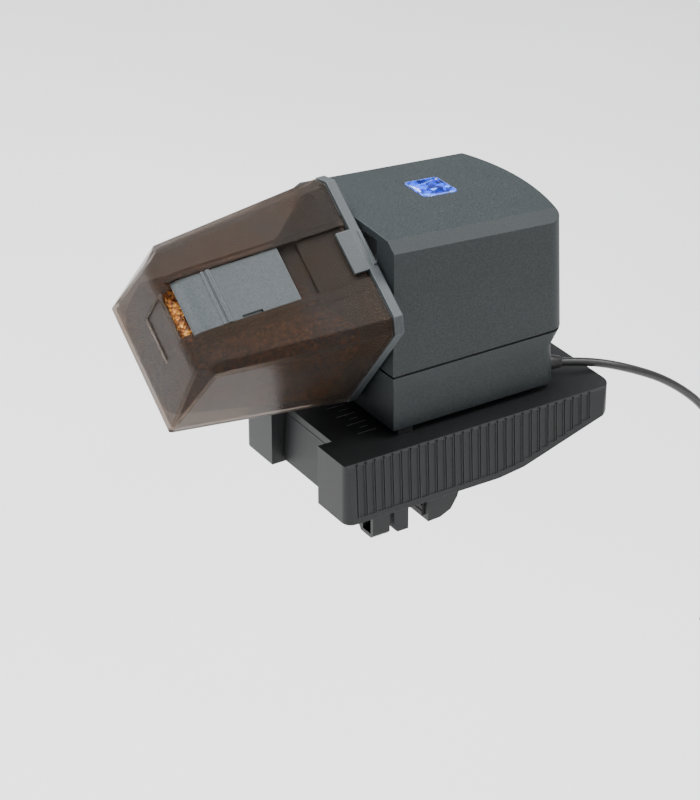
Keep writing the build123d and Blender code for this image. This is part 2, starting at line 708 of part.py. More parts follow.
def octagon(half, top, bottom, chamfer_w, low, high):
    """Prism along X with four chamfered corners, in the drum's frame."""
    points = [
        (half, top - chamfer_w),
        (half - chamfer_w, top),
        (chamfer_w - half, top),
        (-half, top - chamfer_w),
        (-half, bottom + chamfer_w),
        (chamfer_w - half, bottom),
        (half - chamfer_w, bottom),
        (half, bottom + chamfer_w),
    ]
    return prism(points, "X", low, high)


def drum_lid():
    """Lid that closes the drum's open end and couples it to the spindle."""
    low, high = LID_X
    lid = octagon(LID_HALF_W, LID_TOP, LID_BOTTOM, LID_CHAMFER, low, high)
    lid = chamfer(lid.faces().sort_by(Axis.X)[-1].edges(), 0.8)
    spigot = octagon(32.3, 30.8, -27.2, 4.6, SHELL_X - 5.0, low + 0.1)
    spigot -= octagon(30.7, 29.2, -25.6, 4.0, SHELL_X - 6.0, low)
    spigot -= block((-40, low), (-16, 16), (24, 40))
    hub = rod((low + 0.1, 0, 0), (1, 0, 0), 14.5, 9.0)
    socket = RectangleRounded(DRIVER_SIDE + 0.6, DRIVER_SIDE + 0.6, 2.6)
    hole = extrude(Plane(origin=(low + 0.9, 0, 0), z_dir=(1, 0, 0)) * socket, amount=20)
    tab_low = SHELL_TOP[0] - GROOVE_D + 0.25
    tab_end = SHELL_X - 5.2
    tab_side = [(low + 1, LID_TOP), (low + 1, tab_low), (tab_end, tab_low), (tab_end, SHELL_TOP[0])]
    tab = prism(tab_side, "Y", -8.8, 8.8)
    rib = block((high - 2.0, high - 0.9), (-7.5, 7.5), (LID_TOP - 0.1, LID_TOP + 0.6))
    return in_drum(lid + spigot + hub + tab + rib - hole)


def lid_seal():
    seal = octagon(34.6, 33.0, -29.2, 4.8, SHELL_X, LID_X[0])
    seal -= octagon(32.35, 30.85, -27.25, 4.6, SHELL_X - 1, LID_X[0] + 1)
    return in_drum(seal - block((-40, 0), (-16, 16), (24, 40)))


def drum_form(inset):
    """Tapered drum with chamfered long edges, or its hollow when there is an inset."""
    start = SHELL_X + (8 if inset else 0)
    grow = (start - SHELL_X) / (SHELL_X - SHELL_END_X)
    end = SHELL_END_X + inset * 1.25
    wide = SHELL_HALF[0] + grow * (SHELL_HALF[0] - SHELL_HALF[1]) - inset
    narrow = SHELL_HALF[1] - inset
    top = SHELL_TOP[0] + grow * (SHELL_TOP[0] - SHELL_TOP[1]) - inset
    top_end = SHELL_TOP[1] - inset
    bottom = SHELL_BOTTOM[0] + grow * (SHELL_BOTTOM[0] - SHELL_BOTTOM[1]) + inset
    bottom_end = SHELL_BOTTOM[1] + inset
    corners = [(start, 0, top), (end, 0, top_end), (end, 0, bottom_end), (start, 0, bottom)]
    side = make_face(Polyline(corners, close=True))
    nose = [v for v in side.vertices() if v.X < end + 1 and v.Z > 0]
    side = fillet(nose, SHELL_NOSE_R - inset)
    side = fillet([v for v in side.vertices() if v.X < end + 1 and v.Z < 0], 3.5 - inset)
    form = extrude(side, amount=80, dir=(0, 1, 0), both=True)
    form &= prism([(start, -wide), (start, wide), (end, narrow), (end, -narrow)], "Z", -60, 60)
    centre = (-50, 0, 0)
    c = SHELL_CHAMFER
    for s in (-1, 1):
        x0, x1 = SHELL_X, SHELL_END_X
        upper = [
            (x0, s * (SHELL_HALF[0] - c), SHELL_TOP[0]),
            (x0, s * SHELL_HALF[0], SHELL_TOP[0] - c),
            (x1, s * SHELL_HALF[1], SHELL_TOP[1] - c + 1),
        ]
        lower = [
            (x0, s * (SHELL_HALF[0] - c), SHELL_BOTTOM[0]),
            (x0, s * SHELL_HALF[0], SHELL_BOTTOM[0] + c),
            (x1, s * SHELL_HALF[1], SHELL_BOTTOM[1] + c - 2),
        ]
        end_edge = [
            (x1, s * (SHELL_HALF[1] - 5.5), SHELL_TOP[1] - 3),
            (x1 + 6.0, s * (SHELL_HALF[1] + 0.57), SHELL_TOP[1] - 3),
            (x1, s * (SHELL_HALF[1] - 0.5), SHELL_BOTTOM[1]),
        ]
        for points in (upper, lower, end_edge):
            form = cut_corner(form, points, centre, inset)
    return form


def drum_shell():
    outer = drum_form(0)
    track = on_facet(block((0, 90), (-TRACK_HALF, TRACK_HALF), (-TRACK_D, 1)))
    shell = outer - drum_form(SHELL_WALL) + (track & outer)
    shell -= on_facet(block((-1, 90), (-GROOVE_HALF, GROOVE_HALF), (-GROOVE_D, 2)))
    shell -= on_facet(block((SLOT_START, 90), (-GROOVE_HALF, GROOVE_HALF), (-SLOT_D, 2)))
    shell -= on_facet(block((SLOT_START, 90), (-SLOT_HALF, SLOT_HALF), (-SLOT_D, -GROOVE_D)))
    shell -= on_facet(block((57, 90), (-OUTLET_HALF, OUTLET_HALF), (-8, 2)))
    pocket = block((SHELL_END_X - 1, SHELL_END_X + 1.0), (-OUTLET_HALF, OUTLET_HALF), (0, 30))
    return in_drum(shell - pocket)


def dosing_slider():
    """Sliding gate in the groove: a flat plate, a finger ridge and a lip that curves down."""
    top = -0.6
    low = -SLOT_D + 0.1
    corners = [(SLIDER_TIP, 0, low), (SLIDER_START, 0, low), (SLIDER_START, 0, top), (SLIDER_BEND, 0, top)]
    profile = Polyline(*corners)
    profile += Spline(
        (SLIDER_BEND, 0, top),
        (SLIDER_TIP, 0, low + 0.5),
        tangents=((1, 0, 0), (0.75, 0, -0.5)),
    )
    profile += Line((SLIDER_TIP, 0, low + 0.5), (SLIDER_TIP, 0, low))
    plate = extrude(make_face(profile), amount=SLIDER_HALF, dir=(0, 1, 0), both=True)
    flange = block((SLIDER_START, SLIDER_BEND), (-FLANGE_HALF, FLANGE_HALF), (low, -GROOVE_D - 0.1))
    across = (-SLIDER_HALF, SLIDER_HALF)
    ridge = block((SLIDER_BEND - 3.2, SLIDER_BEND - 1.8), across, (top - 0.1, top + 0.9))
    ridge += block((SLIDER_BEND - 0.8, SLIDER_BEND + 0.2), across, (top - 0.1, top + 0.5))
    slider = plate + flange + ridge
    slider -= block((44.0, 52.5), (SLIDER_HALF - 1.2, SLIDER_HALF + 1), (-GROOVE_D, 1))
    return in_drum(on_facet(slider))


# ---- Cross slide shoes ----
def slide_shoes():
    """Two shoes under the housing whose necks pass through the slots in the base's top plate."""
    shoes = []
    for x, front in zip(SHOE_X, SHOE_FRONT_Y):
        half = SHOE_W / 2
        foot = block((x - half, x + half), (front, BODY_REAR - 1.6), (BASE_H + 0.1, FLOOR_Z))
        half = SHOE_NECK_W / 2
        foot += block((x - half, x + half), SHOE_NECK_Y, (BASE_H - TOP_PLATE - 0.1, BASE_H + 0.2))
        for y in (SHOE_NECK_Y[0] + 6, SHOE_NECK_Y[1] - 6):
            foot -= rod((x, y, 15), (0, 0, 1), 0.8, 12.5)
        shoes.append(foot)
    return shoes


def shoe_keepers():
    """Plates under the base's top plate that hold the shoes down."""
    keepers = []
    top = BASE_H - TOP_PLATE - 0.1
    for x in SHOE_X:
        plate = block((x - 2.9, x + 2.9), SHOE_NECK_Y, (top - 1.6, top))
        for y in (SHOE_NECK_Y[0] + 6, SHOE_NECK_Y[1] - 6):
            plate -= rod((x, y, 15), (0, 0, 1), 1.0, 12)
        keepers.append(plate)
    return keepers


def keeper_screws():
    screws = []
    low = BASE_H - TOP_PLATE - 1.7
    for x in SHOE_X:
        for y in (SHOE_NECK_Y[0] + 6, SHOE_NECK_Y[1] - 6):
            screws.append(screw((x, y, low), (0, 0, 1), 0.8, 5.5, 1.6, 0.9))
    return screws


# ---- Cord ----
def cord_gland():
    """Strain relief held in the housing's end wall, tapering towards the cord."""
    aim = Vector(GLAND_AIM)
    start = Vector(GLAND)
    collar = rod(start - aim * 6.5, GLAND_AIM, 4.3, 1.6)
    collar &= block((50, 70), (-30, 0), (FLOOR_Z + 2.7, 45))
    gland = collar + rod(start - aim * 5.0, GLAND_AIM, GLAND_R, 6.0)
    up = (Align.CENTER, Align.CENTER, Align.MIN)
    sleeve = Plane(origin=start + aim * 0.9, z_dir=GLAND_AIM) * Cone(3.3, 2.3, GLAND_L - 0.9, align=up)
    return gland + sleeve


def route_radii(points):
    """Largest arc that fits each corner: 0.45 of the shorter run over the tangent of half the turn."""
    radii = []
    for a, b, c in zip(points, points[1:], points[2:]):
        run_in = Vector(b) - Vector(a)
        run_out = Vector(c) - Vector(b)
        turn = run_in.get_angle(run_out)
        radii.append(0.45 * min(run_in.length, run_out.length) / tan(radians(turn) / 2))
    return radii


def power_cord():
    radii = route_radii(CORD_ROUTE)
    path = FilletPolyline(*CORD_ROUTE, radius=radii)
    start = Plane(origin=path @ 0, z_dir=path % 0)
    cord = sweep(start * Circle(CORD_D / 2), path=path)
    print("cord radii", [round(r, 1) for r in radii], "tube length", round(path.length, 1))
    print("cord volume over section times length", round(cord.volume / (pi * CORD_D**2 / 4 * path.length), 4))
    return cord


def cord_coil():
    """Outer shape of the tied coil that hangs on the cord."""
    return Pos(*COIL_CENTRE) * Rot(0, 90, 0) * Torus(COIL_R, COIL_BUNDLE_R)


def coil_side():
    """The point of the coil's mid-line where the cord comes in, and the plug's tail leaves."""
    x, y, z = COIL_CENTRE
    return (x, y + COIL_R, z)


def cord_tie():
    x, y, z = coil_side()
    band = rod((x, y, z - 3), (0, 0, 1), COIL_BUNDLE_R + 1.3, 6)
    return band - rod((x, y, z - 4), (0, 0, 1), COIL_BUNDLE_R - 0.1, 8)


def tail_top():
    x, y, z = coil_side()
    return (x, y + COIL_BUNDLE_R - 3.0, z - 7.0)


def cord_tail():
    return rod(tail_top(), (0, 0, -1), CORD_D / 2, TAIL_L)


def plug_body():
    """Overmoulded grip of the plug with its own short taper."""
    x, y, z = tail_top()
    top = z - TAIL_L
    up = (Align.CENTER, Align.CENTER, Align.MIN)
    taper = Pos(x, y, top - 7.0) * Cone(3.4, 2.1, 7.0, align=up)
    grip = Pos(x, y, top - 7.0 - (PLUG_L - 7.0) / 2) * Box(7.6, 15.0, PLUG_L - 7.0)
    grip = fillet(grip.edges().filter_by(Axis.Z), 2.0)
    return taper + grip


def plug_shell():
    x, y, z = tail_top()
    top = z - TAIL_L - PLUG_L
    shell = Pos(x, y, top - PLUG_SHELL_L / 2) * Box(4.5, 12.0, PLUG_SHELL_L)
    bay = Pos(x, y, top - PLUG_SHELL_L / 2 - 1.0) * Box(3.9, 11.4, PLUG_SHELL_L)
    tongue = Pos(x + 0.8, y, top - PLUG_SHELL_L / 2) * Box(1.8, 11.0, PLUG_SHELL_L - 0.6)
    return shell - bay + tongue


NODES = {
    "base_frame": base_frame,
    "pane_pad": pane_pad,
    "fixed_jaw": fixed_jaw,
    "fixed_jaw_pad": lambda: jaw_pad(1),
    "jaw_screws": jaw_screws,
    "slide_tongue": slide_tongue,
    "moving_jaw": moving_jaw,
    "moving_jaw_pad": lambda: jaw_pad(-1),
    "moving_jaw_screws": moving_jaw_screws,
    "finger_pull": finger_pull,
    "pull_screws": pull_screws,
    "slide_shoes": slide_shoes,
    "shoe_keepers": shoe_keepers,
    "keeper_screws": keeper_screws,
    "lower_housing": lower_housing,
    "housing_seal": housing_seal,
    "top_cover": top_cover,
    "cover_screws": cover_screws,
    "push_button": button,
    "button_spring": button_spring,
    "circuit_board": circuit_board,
    "board_screws": board_screws,
    "tact_switch": tact_switch,
    "status_led": status_led,
    "wireless_module": wireless_module,
    "chassis_plate": chassis_plate,
    "spindle_bush": spindle_bush,
    "gearbox_bracket": gearbox_bracket,
    "bracket_screws": bracket_screws,
    "idler_axle": idler_axle,
    "reduction_gear": reduction_gear,
    "motor_pinion": motor_pinion,
    "motor_shaft": motor_shaft,
    "motor": motor,
    "spindle": spindle,
    "output_gear": output_gear,
    "coupling_driver": coupling_driver,
    "drum_lid": drum_lid,
    "lid_seal": lid_seal,
    "drum_shell": drum_shell,
    "dosing_slider": dosing_slider,
    "cord_gland": cord_gland,
    "power_cord": power_cord,
    "cord_coil": cord_coil,
    "cord_tie": cord_tie,
    "cord_tail": cord_tail,
    "plug_body": plug_body,
    "plug_shell": plug_shell,
}

os.makedirs("parts", exist_ok=True)
for name, make in NODES.items():
    made = make()
    shape = Compound(children=list(made)) if isinstance(made, list) else made
    export_step(shape, f"parts/{name}.step")
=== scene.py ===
"""Looks of the automatic fish feeder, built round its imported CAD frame.

Lengths are in millimetres times MM, in the part's own frame: +Z up, X from the food drum to the cord,
Y along the pane, and the origin on the seat that rests on the pane's top edge.
"""

import json
import math
import random

import bmesh
import bpy
from mathutils import Matrix, Vector, noise
from mathutils.geometry import delaunay_2d_cdt


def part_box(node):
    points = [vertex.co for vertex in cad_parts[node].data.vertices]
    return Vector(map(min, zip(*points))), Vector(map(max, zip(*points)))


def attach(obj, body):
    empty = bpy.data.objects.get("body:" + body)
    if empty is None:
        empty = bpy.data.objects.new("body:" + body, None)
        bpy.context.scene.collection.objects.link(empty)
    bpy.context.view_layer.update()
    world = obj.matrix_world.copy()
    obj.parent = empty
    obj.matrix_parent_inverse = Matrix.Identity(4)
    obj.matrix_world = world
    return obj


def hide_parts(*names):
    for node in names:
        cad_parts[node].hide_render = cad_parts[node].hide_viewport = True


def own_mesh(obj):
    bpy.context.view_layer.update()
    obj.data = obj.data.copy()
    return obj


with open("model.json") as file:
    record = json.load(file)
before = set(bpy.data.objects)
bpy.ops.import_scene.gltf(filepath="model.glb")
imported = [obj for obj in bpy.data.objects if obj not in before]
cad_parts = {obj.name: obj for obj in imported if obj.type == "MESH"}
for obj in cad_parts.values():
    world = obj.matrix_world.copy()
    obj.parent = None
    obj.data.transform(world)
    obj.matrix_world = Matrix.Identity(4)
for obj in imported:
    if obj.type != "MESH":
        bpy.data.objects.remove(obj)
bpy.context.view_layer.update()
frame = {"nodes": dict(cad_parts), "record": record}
nodes = frame["nodes"]

MM = 0.001

# ---- Camera ----
VIEW_AZIMUTH = math.radians(-32.0)
VIEW_ELEVATION = math.radians(28.6)
VIEW_TARGET = Vector((-4.9, 16.1, 19.7)) * MM
VIEW_DISTANCE = 1.04
LENS = 117.0
FLOOR_Z = -0.34

# ---- Cord: the same route as the CAD tube, then the tied coil and the plug's tail ----
CORD_D = 3.5
CORD_ROUTE = [
    (72.66, -19.16, 31.1),
    (84.16, -22.3, 29.67),
    (98.0, -29.0, 26.2),
    (119.0, -31.5, 15.4),
    (141.0, -31.5, -4.0),
    (153.0, -30.6, -27.0),
    (156.4, -29.2, -50.0),
    (154.6, -27.8, -71.0),
]
GLAND = Vector((66.24, -17.4, 31.9))
GLAND_AIM = Vector((0.958, -0.262, -0.119))
GLAND_L = 6.7
CORD_TAIL = [(165.4, -24.2, -84.0), (163.4, -24.7, -92.0), (160.0, -25.4, -97.0), (160.0, -25.4, -102.0)]
COIL_R = 19.25
COIL_CENTRE = (160.0, -29.6 - COIL_R, -78.0)
COIL_COLUMNS = (2, 4, 3, 2)
COIL_PITCH = 1.03 * CORD_D
POINTS_PER_TURN = 14

# ---- Drum, as in the CAD ----
AXIS_Y = 6.5
AXIS_Z = 75.0
DRUM_TILT = math.radians(37.4)
SHELL_X = -20.4
SHELL_END_X = -96.0
SHELL_HALF = (35.2, 28.0)
SHELL_TOP = (33.6, 24.0)
SHELL_BOTTOM = (-29.8, -25.0)

# ---- Housing and base, as in the CAD ----
ROOF_FALL = math.tan(math.radians(3.65))
BASE_H = 25.5

# ---- Food ----
FOOD_TOP = 91.5
FOOD_TOP_X = -86.0
FOOD_SLOPE = 0.24
FLAKE_COUNT = 420
FLAKE_T = 0.24
FLAKE_LEAN = 0.6


# ---- Small helpers ----
def add_mesh(name, bm, smooth=False):
    """Object of a bmesh, with its faces turned outwards."""
    bmesh.ops.recalc_face_normals(bm, faces=bm.faces)
    mesh = bpy.data.meshes.new(name)
    bm.to_mesh(mesh)
    bm.free()
    for face in mesh.polygons:
        face.use_smooth = smooth
    piece = bpy.data.objects.new(name, mesh)
    bpy.context.scene.collection.objects.link(piece)
    return piece


def dress(piece, material, body=None):
    """Give a new piece its material and the body that it rides on."""
    piece.data.materials.clear()
    piece.data.materials.append(material)
    if body:
        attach(piece, body)
    return piece


def loft(rings, closed=True):
    """Bmesh of rings of points, one after the other, each joined to the next and capped at both ends."""
    bm = bmesh.new()
    rows = [[bm.verts.new(p) for p in ring] for ring in rings]
    count = len(rings[0])
    for a, b in zip(rows, rows[1:]):
        for i in range(count):
            j = (i + 1) % count
            bm.faces.new((a[i], a[j], b[j], b[i]))
    if closed:
        bm.faces.new(list(reversed(rows[0])))
        bm.faces.new(rows[-1])
    return bm


def rounded_square(half_x, half_y, radius, steps=6):
    """Outline of a rounded rectangle about the origin."""
    points = []
    for corner in range(4):
        sx = 1 if corner in (0, 3) else -1
        sy = 1 if corner < 2 else -1
        for i in range(steps + 1):
            angle = (corner + i / steps) * math.pi / 2
            x = sx * (half_x - radius) + radius * math.cos(angle)
            y = sy * (half_y - radius) + radius * math.sin(angle)
            points.append((x, y))
    return points


def in_drum(point):
    """Place a point from the drum's own frame, in millimetres, in the part's frame, in metres."""
    turn = Matrix.Rotation(DRUM_TILT, 3, "X")
    return (turn @ Vector(point) + Vector((0, AXIS_Y, AXIS_Z))) * MM


# ---- Materials ----
class Paint:
    """A material's node tree with short calls for the nodes that feed its shader."""

    def __init__(self, name, **values):
        self.material = bpy.data.materials.new(name)
        self.material.use_nodes = True
        self.tree = self.material.node_tree
        self.shader = self.tree.nodes["Principled BSDF"]
        self.place = self.add("ShaderNodeTexCoord").outputs["Object"]
        for key, value in values.items():
            self.shader.inputs[key.replace("_", " ")].default_value = value

    def add(self, kind, inputs=None, **settings):
        made = self.tree.nodes.new(kind)
        for key, value in settings.items():
            setattr(made, key, value)
        for key, value in (inputs or {}).items():
            if isinstance(value, bpy.types.NodeSocket):
                self.tree.links.new(value, made.inputs[key])
            else:
                made.inputs[key].default_value = value
        return made

    def feed(self, name, socket):
        self.tree.links.new(socket, self.shader.inputs[name])

    def noise(self, scale, detail=2.0, roughness=0.55, stretch=(1, 1, 1)):
        place = self.add("ShaderNodeMapping", {"Vector": self.place, "Scale": stretch}).outputs[0]
        inputs = {"Vector": place, "Scale": scale, "Detail": detail, "Roughness": roughness}
        return self.add("ShaderNodeTexNoise", inputs).outputs[0]

    def cells(self, scale, feature="F1"):
        inputs = {"Vector": self.place, "Scale": scale}
        return self.add("ShaderNodeTexVoronoi", inputs, feature=feature)

    def ramp(self, value, stops):
        made = self.add("ShaderNodeValToRGB", {0: value})
        elements = made.color_ramp.elements
        while len(elements) < len(stops):
            elements.new(0.5)
        for element, (position, colour) in zip(elements, stops):
            element.position = position
            element.color = (*colour, 1.0) if len(colour) == 3 else colour
        return made.outputs[0]

    def span(self, value, low, high, to_low, to_high):
        inputs = {0: value, 1: low, 2: high, 3: to_low, 4: to_high}
        return self.add("ShaderNodeMapRange", inputs).outputs[0]

    def sum(self, a, b, operation="ADD"):
        return self.add("ShaderNodeMath", {0: a, 1: b}, operation=operation).outputs[0]

    def mix(self, share, a, b, blend="MIX"):
        made = self.add("ShaderNodeMix", {0: share}, data_type="RGBA", blend_type=blend)
        for index, value in ((6, a), (7, b)):
            if isinstance(value, bpy.types.NodeSocket):
                self.tree.links.new(value, made.inputs[index])
            else:
                made.inputs[index].default_value = (*value, 1.0)
        return made.outputs[2]

    def edges(self, radius, gain):
        """Softened normal, and a mask that is 1 where an edge is rounded over."""
        soft = self.add("ShaderNodeBevel", {"Radius": radius}, samples=4).outputs[0]
        hard = self.add("ShaderNodeNewGeometry").outputs["True Normal"]
        along = self.add("ShaderNodeVectorMath", {0: soft, 1: hard}, operation="DOT_PRODUCT").outputs["Value"]
        return soft, self.span(along, 1.0, 1.0 - 1.0 / gain, 0.0, 1.0)

    def bump(self, height, distance, normal=None, strength=1.0):
        inputs = {"Height": height, "Distance": distance, "Strength": strength}
        if normal is not None:
            inputs["Normal"] = normal
        return self.add("ShaderNodeBump", inputs).outputs[0]


def grained(name, dark, light, rough, grain=0.45, depth=0.03, edge=None, edge_radius=0.45, speckle=0.35):
    """Moulded plastic with a fine grain, a faint mottle and a painted highlight on rounded edges. Grain is in
    millimetres.
    """
    paint = Paint(name, Specular_IOR_Level=0.3)
    fine = paint.noise(1 / (grain * MM), 3.0, 0.6)
    broad = paint.noise(38.0, 3.0, 0.5)
    flecks = paint.cells(0.9 / (grain * MM)).outputs["Distance"]
    colour = paint.ramp(fine, [(0.36, dark), (0.66, light)])
    colour = paint.mix(paint.span(broad, 0.3, 0.7, 0.0, 0.22), colour, [c * 0.72 for c in dark])
    spark = paint.span(flecks, 0.18, 0.05, 0.0, speckle)
    colour = paint.mix(spark, colour, [min(1.0, c * 2.1) for c in light])
    # Painted highlight: rounded edges are mixed towards a lighter edge colour, as if they caught the light.
    soft, lit_edge_mask = paint.edges(edge_radius * MM, 3.0)
    edge = edge or [min(1.0, c * 1.7) for c in light]
    colour = paint.mix(paint.sum(lit_edge_mask, 0.55, "MULTIPLY"), colour, edge)
    paint.feed("Base Color", colour)
    paint.feed("Roughness", paint.span(fine, 0.3, 0.7, rough - 0.07, rough + 0.07))
    height = paint.sum(fine, paint.sum(flecks, 0.35, "MULTIPLY"))
    paint.feed("Normal", paint.bump(height, depth * MM, soft))
    return paint.material


def smoke_plastic():
    """Translucent smoke-brown plastic with a satin, finely textured outside."""
    paint = Paint("drum_smoke", Transmission_Weight=0.9, IOR=1.12, Specular_IOR_Level=0.1)
    fine = paint.noise(1 / (0.4 * MM), 3.0, 0.62)
    broad = paint.noise(26.0, 2.0, 0.5)
    cool = (0.22, 0.2, 0.19)
    warm = (0.25, 0.175, 0.125)
    colour = paint.mix(paint.span(broad, 0.35, 0.65, 0.0, 1.0), cool, warm)
    colour = paint.mix(paint.span(fine, 0.35, 0.7, 0.0, 0.55), colour, (0.11, 0.095, 0.088))
    # Painted light on rounded edges: they are mixed towards an amber tone, like light glowing through the
    # edge.
    soft, lit_edge_mask = paint.edges(0.5 * MM, 3.0)
    colour = paint.mix(paint.sum(lit_edge_mask, 0.5, "MULTIPLY"), colour, (0.2, 0.14, 0.11))
    paint.feed("Base Color", colour)
    paint.feed("Roughness", paint.span(fine, 0.3, 0.7, 0.12, 0.25))
    paint.feed("Normal", paint.bump(fine, 0.02 * MM, soft))
    return paint.material


def gem_plastic():
    """Clear blue button, lit from below: every facet has its own depth of blue."""
    paint = Paint("button_clear", Roughness=0.12, IOR=1.4, Coat_Weight=0.25, Coat_Roughness=0.05)
    patches = paint.cells(430.0).outputs["Color"]
    shade = paint.add("ShaderNodeSeparateColor", {0: patches}).outputs[0]
    drift = paint.noise(190.0, 3.0, 0.6)
    value = paint.sum(paint.sum(shade, 0.55, "MULTIPLY"), paint.sum(drift, 0.5, "MULTIPLY"))
    stops = [
        (0.25, (0.0005, 0.003, 0.07)),
        (0.5, (0.001, 0.014, 0.3)),
        (0.74, (0.003, 0.06, 0.75)),
        (0.95, (0.2, 0.55, 1.0)),
    ]
    colour = paint.ramp(value, stops)
    # Painted highlight: rounded edges are mixed towards pale blue.
    lit_edge_mask = paint.edges(0.35 * MM, 3.0)[1]
    colour = paint.mix(lit_edge_mask, colour, (0.5, 0.75, 1.0))
    paint.feed("Base Color", colour)
    paint.feed("Emission Color", colour)
    paint.shader.inputs["Emission Strength"].default_value = 0.45
    return paint.material


def food_material():
    """Dried fish food: orange-brown flakes with dark and light ones among them."""
    paint = Paint("food_flakes", Specular_IOR_Level=0.3)
    grains = paint.cells(1 / (1.1 * MM))
    shade = paint.add("ShaderNodeSeparateColor", {0: grains.outputs["Color"]}).outputs[0]
    stops = [
        (0.0, (0.04, 0.012, 0.004)),
        (0.35, (0.16, 0.05, 0.009)),
        (0.7, (0.4, 0.14, 0.02)),
        (1.0, (0.62, 0.3, 0.06)),
    ]
    colour = paint.ramp(shade, stops)
    fine = paint.noise(1 / (0.3 * MM), 3.0)
    paint.feed("Base Color", paint.mix(paint.span(fine, 0.4, 0.7, 0.0, 0.35), colour, (0.12, 0.035, 0.006)))
    paint.feed("Roughness", paint.span(fine, 0.3, 0.7, 0.55, 0.85))
    paint.feed("Normal", paint.bump(grains.outputs["Distance"], 0.5 * MM))
    return paint.material


def metal(name, colour, rough, stretch=(1, 1, 1), metallic=1.0):
    """Plated or turned metal with fine machining marks."""
    paint = Paint(name, Metallic=metallic)
    marks = paint.noise(900.0, 4.0, 0.7, stretch)
    dull = paint.noise(60.0, 3.0)
    shade = paint.mix(paint.span(marks, 0.35, 0.7, 0.0, 0.5), colour, [c * 0.62 for c in colour])
    shade = paint.mix(paint.span(dull, 0.45, 0.75, 0.0, 0.4), shade, [c * 0.5 for c in colour])
    paint.feed("Base Color", shade)
    paint.feed("Roughness", paint.span(marks, 0.3, 0.7, rough - 0.08, rough + 0.1))
    soft = paint.edges(0.15 * MM, 3.0)[0]
    paint.feed("Normal", paint.bump(marks, 0.01 * MM, soft))
    return paint.material


def rubber(name, dark, light, rough=0.62, grain=0.3):
    """Flexible sheath or pad: nearly black, with dust in its fine texture."""
    paint = Paint(name, Sheen_Weight=0.08, Specular_IOR_Level=0.42)
    fine = paint.noise(1 / (grain * MM), 4.0, 0.6)
    dust = paint.noise(70.0, 4.0, 0.6)
    colour = paint.ramp(fine, [(0.35, dark), (0.7, light)])
    colour = paint.mix(paint.span(dust, 0.5, 0.8, 0.0, 0.3), colour, [c * 1.9 for c in light])
    paint.feed("Base Color", colour)
    paint.feed("Roughness", paint.span(fine, 0.3, 0.7, rough - 0.1, rough + 0.1))
    paint.feed("Normal", paint.bump(fine, 0.012 * MM))
    return paint.material


def board_material():
    """Green circuit board: solder mask over copper tracks, with bare pads."""
    paint = Paint("board_green", Coat_Weight=0.4, Coat_Roughness=0.2)
    tracks = paint.cells(420.0, "DISTANCE_TO_EDGE").outputs["Distance"]
    pads = paint.cells(300.0).outputs["Distance"]
    colour = paint.mix(paint.span(tracks, 0.06, 0.1, 1.0, 0.0), (0.012, 0.1, 0.04), (0.03, 0.2, 0.08))
    colour = paint.mix(paint.span(pads, 0.1, 0.07, 0.0, 1.0), colour, (0.75, 0.7, 0.55))
    paint.feed("Base Color", colour)
    paint.feed("Roughness", paint.span(paint.noise(500.0), 0.3, 0.7, 0.3, 0.5))
    paint.feed("Normal", paint.bump(tracks, 0.05 * MM))
    return paint.material


def make_materials():
    """Every material by the record's slot name, and two for the food and the paint in the marks."""
    # Each edge colour below is the painted highlight on that part's rounded edges.
    return {
        "base_plastic": grained("base_plastic", (0.009, 0.0095, 0.010), (0.020, 0.021, 0.022), 0.5,
                                edge=(0.085, 0.088, 0.09), edge_radius=0.3, speckle=0.15),
        "housing_plastic": grained("housing_plastic", (0.012, 0.0155, 0.017), (0.028, 0.035, 0.037), 0.52,
                                   grain=0.55, depth=0.05, edge=(0.1, 0.115, 0.12), speckle=0.5),
        "lid_grey": grained("lid_grey", (0.042, 0.048, 0.051), (0.064, 0.072, 0.076), 0.45, grain=0.5,
                            edge=(0.3, 0.32, 0.33), speckle=0.25),
        "slider_grey": grained("slider_grey", (0.043, 0.051, 0.055), (0.064, 0.073, 0.078), 0.38, grain=0.7,
                               depth=0.02, edge=(0.33, 0.35, 0.36), speckle=0.15),
        "drum_smoke": smoke_plastic(),
        "button_clear": gem_plastic(),
        "chassis_white": grained("chassis_white", (0.74, 0.75, 0.76), (0.84, 0.85, 0.86), 0.45,
                                 depth=0.02, speckle=0.0),
        "gear_white": grained("gear_white", (0.70, 0.69, 0.63), (0.82, 0.81, 0.75), 0.4,
                              depth=0.01, speckle=0.0),
        "pad_rubber": rubber("pad_rubber", (0.012, 0.012, 0.012), (0.03, 0.03, 0.031), 0.7),
        "cord_black": rubber("cord_black", (0.012, 0.012, 0.012), (0.026, 0.025, 0.025), 0.36, grain=0.5),
        "tie_black": rubber("tie_black", (0.014, 0.014, 0.015), (0.036, 0.036, 0.038), 0.55),
        "screw_steel": metal("screw_steel", (0.62, 0.62, 0.63), 0.3),
        "spring_steel": metal("spring_steel", (0.66, 0.66, 0.68), 0.22),
        "bracket_steel": metal("bracket_steel", (0.55, 0.56, 0.57), 0.38, stretch=(1, 0.08, 1)),
        "motor_can": metal("motor_can", (0.56, 0.56, 0.57), 0.32, stretch=(0.05, 1, 1)),
        "bush_brass": metal("bush_brass", (0.72, 0.5, 0.2), 0.28, stretch=(1, 0.2, 0.2)),
        "plug_nickel": metal("plug_nickel", (0.72, 0.71, 0.7), 0.18, stretch=(1, 1, 0.1)),
        "board_green": board_material(),
        "module_can": metal("module_can", (0.7, 0.7, 0.71), 0.26),
        "switch_black": grained("switch_black", (0.02, 0.02, 0.021), (0.045, 0.045, 0.047), 0.5, depth=0.01),
        "led_white": grained("led_white", (0.8, 0.82, 0.86), (0.9, 0.92, 0.95), 0.15,
                             depth=0.005, speckle=0.0),
        "food": food_material(),
        "mark_paint": grained("mark_paint", (0.3, 0.31, 0.31), (0.42, 0.43, 0.43), 0.55,
                              depth=0.01, speckle=0.0),
    }


